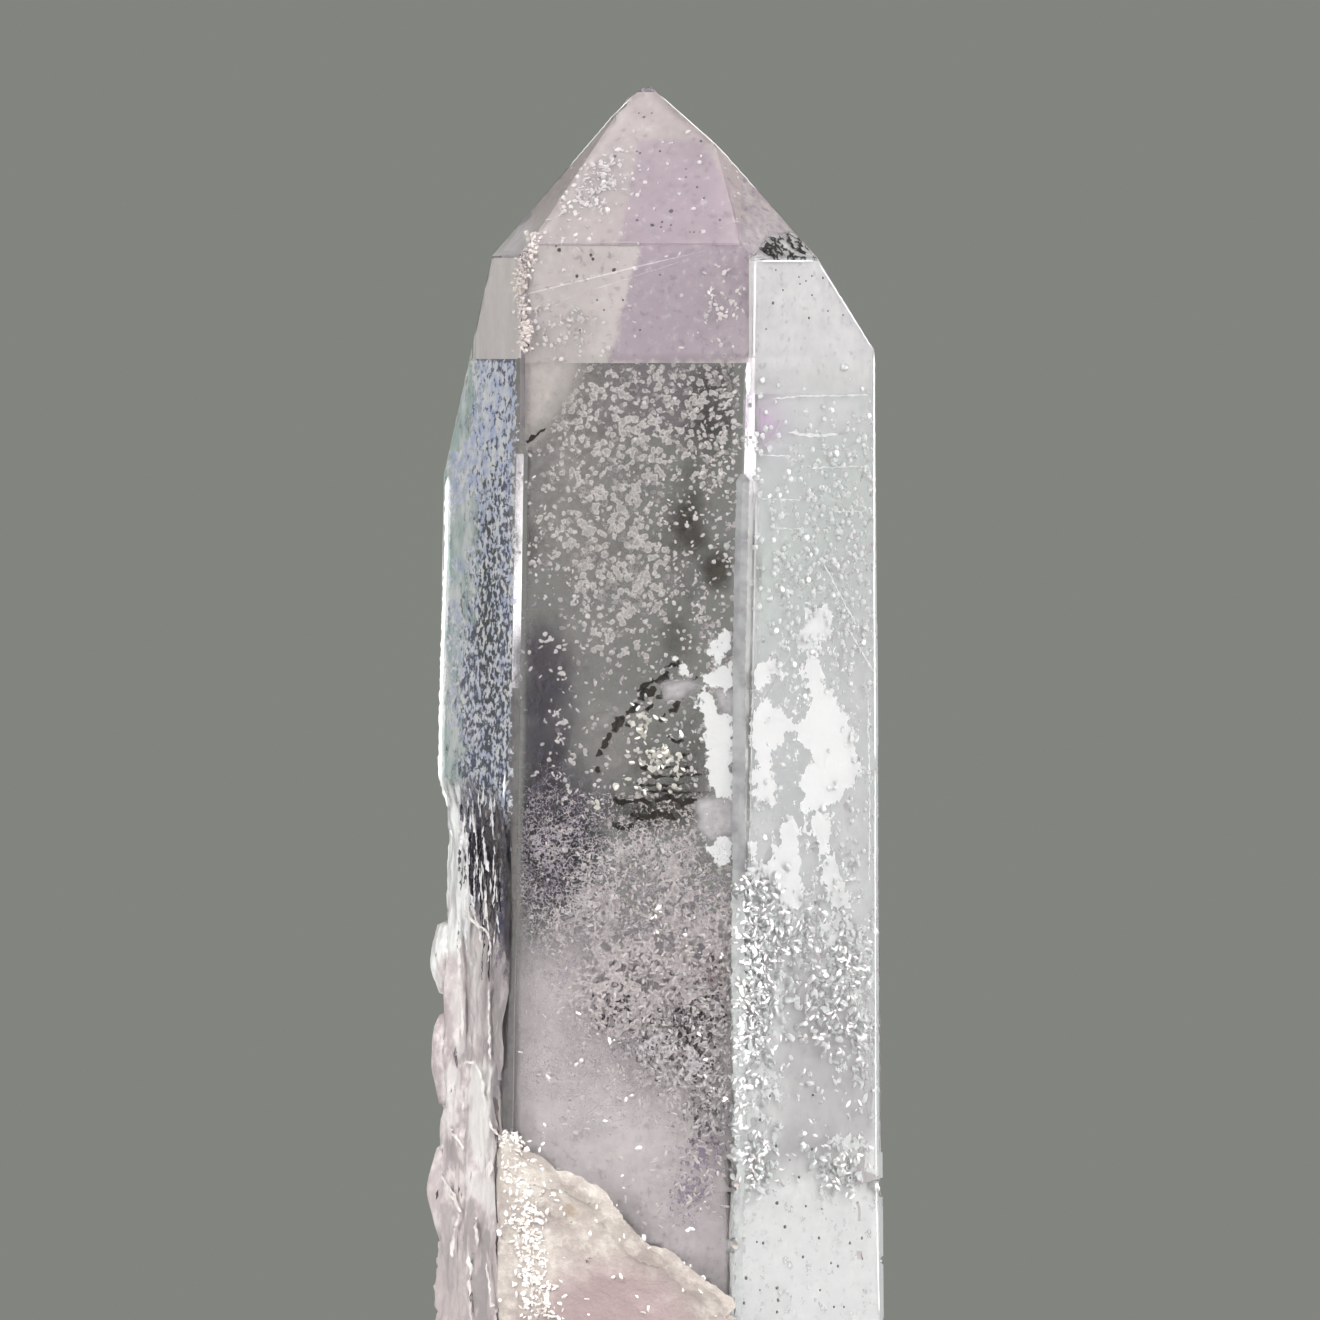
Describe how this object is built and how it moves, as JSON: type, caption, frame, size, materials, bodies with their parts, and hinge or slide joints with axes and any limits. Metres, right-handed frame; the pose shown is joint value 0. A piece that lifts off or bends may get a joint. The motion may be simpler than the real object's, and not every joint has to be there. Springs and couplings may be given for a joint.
{
  "type": "amethyst crystal point",
  "caption": "Natural hexagonal amethyst quartz point with a water-clear body, inner veils and flakes, a rough flank, and a root cut flat to stand on.",
  "frame": {"origin": "middle of the flat cut at the root, on the crystal's axis through the tip", "axes": "+Z along the crystal's axis to the tip, -Y towards the front that the picture shows, +X to the right"},
  "size_m": [0.0207, 0.0219, 0.0659],
  "materials": {
    "amethyst": "clear pale lilac quartz with milky zones, glossy growth faces, frosted scar and flank"
  },
  "bodies": {
    "root": {"crystal": "amethyst"}
  },
  "joints": []
}
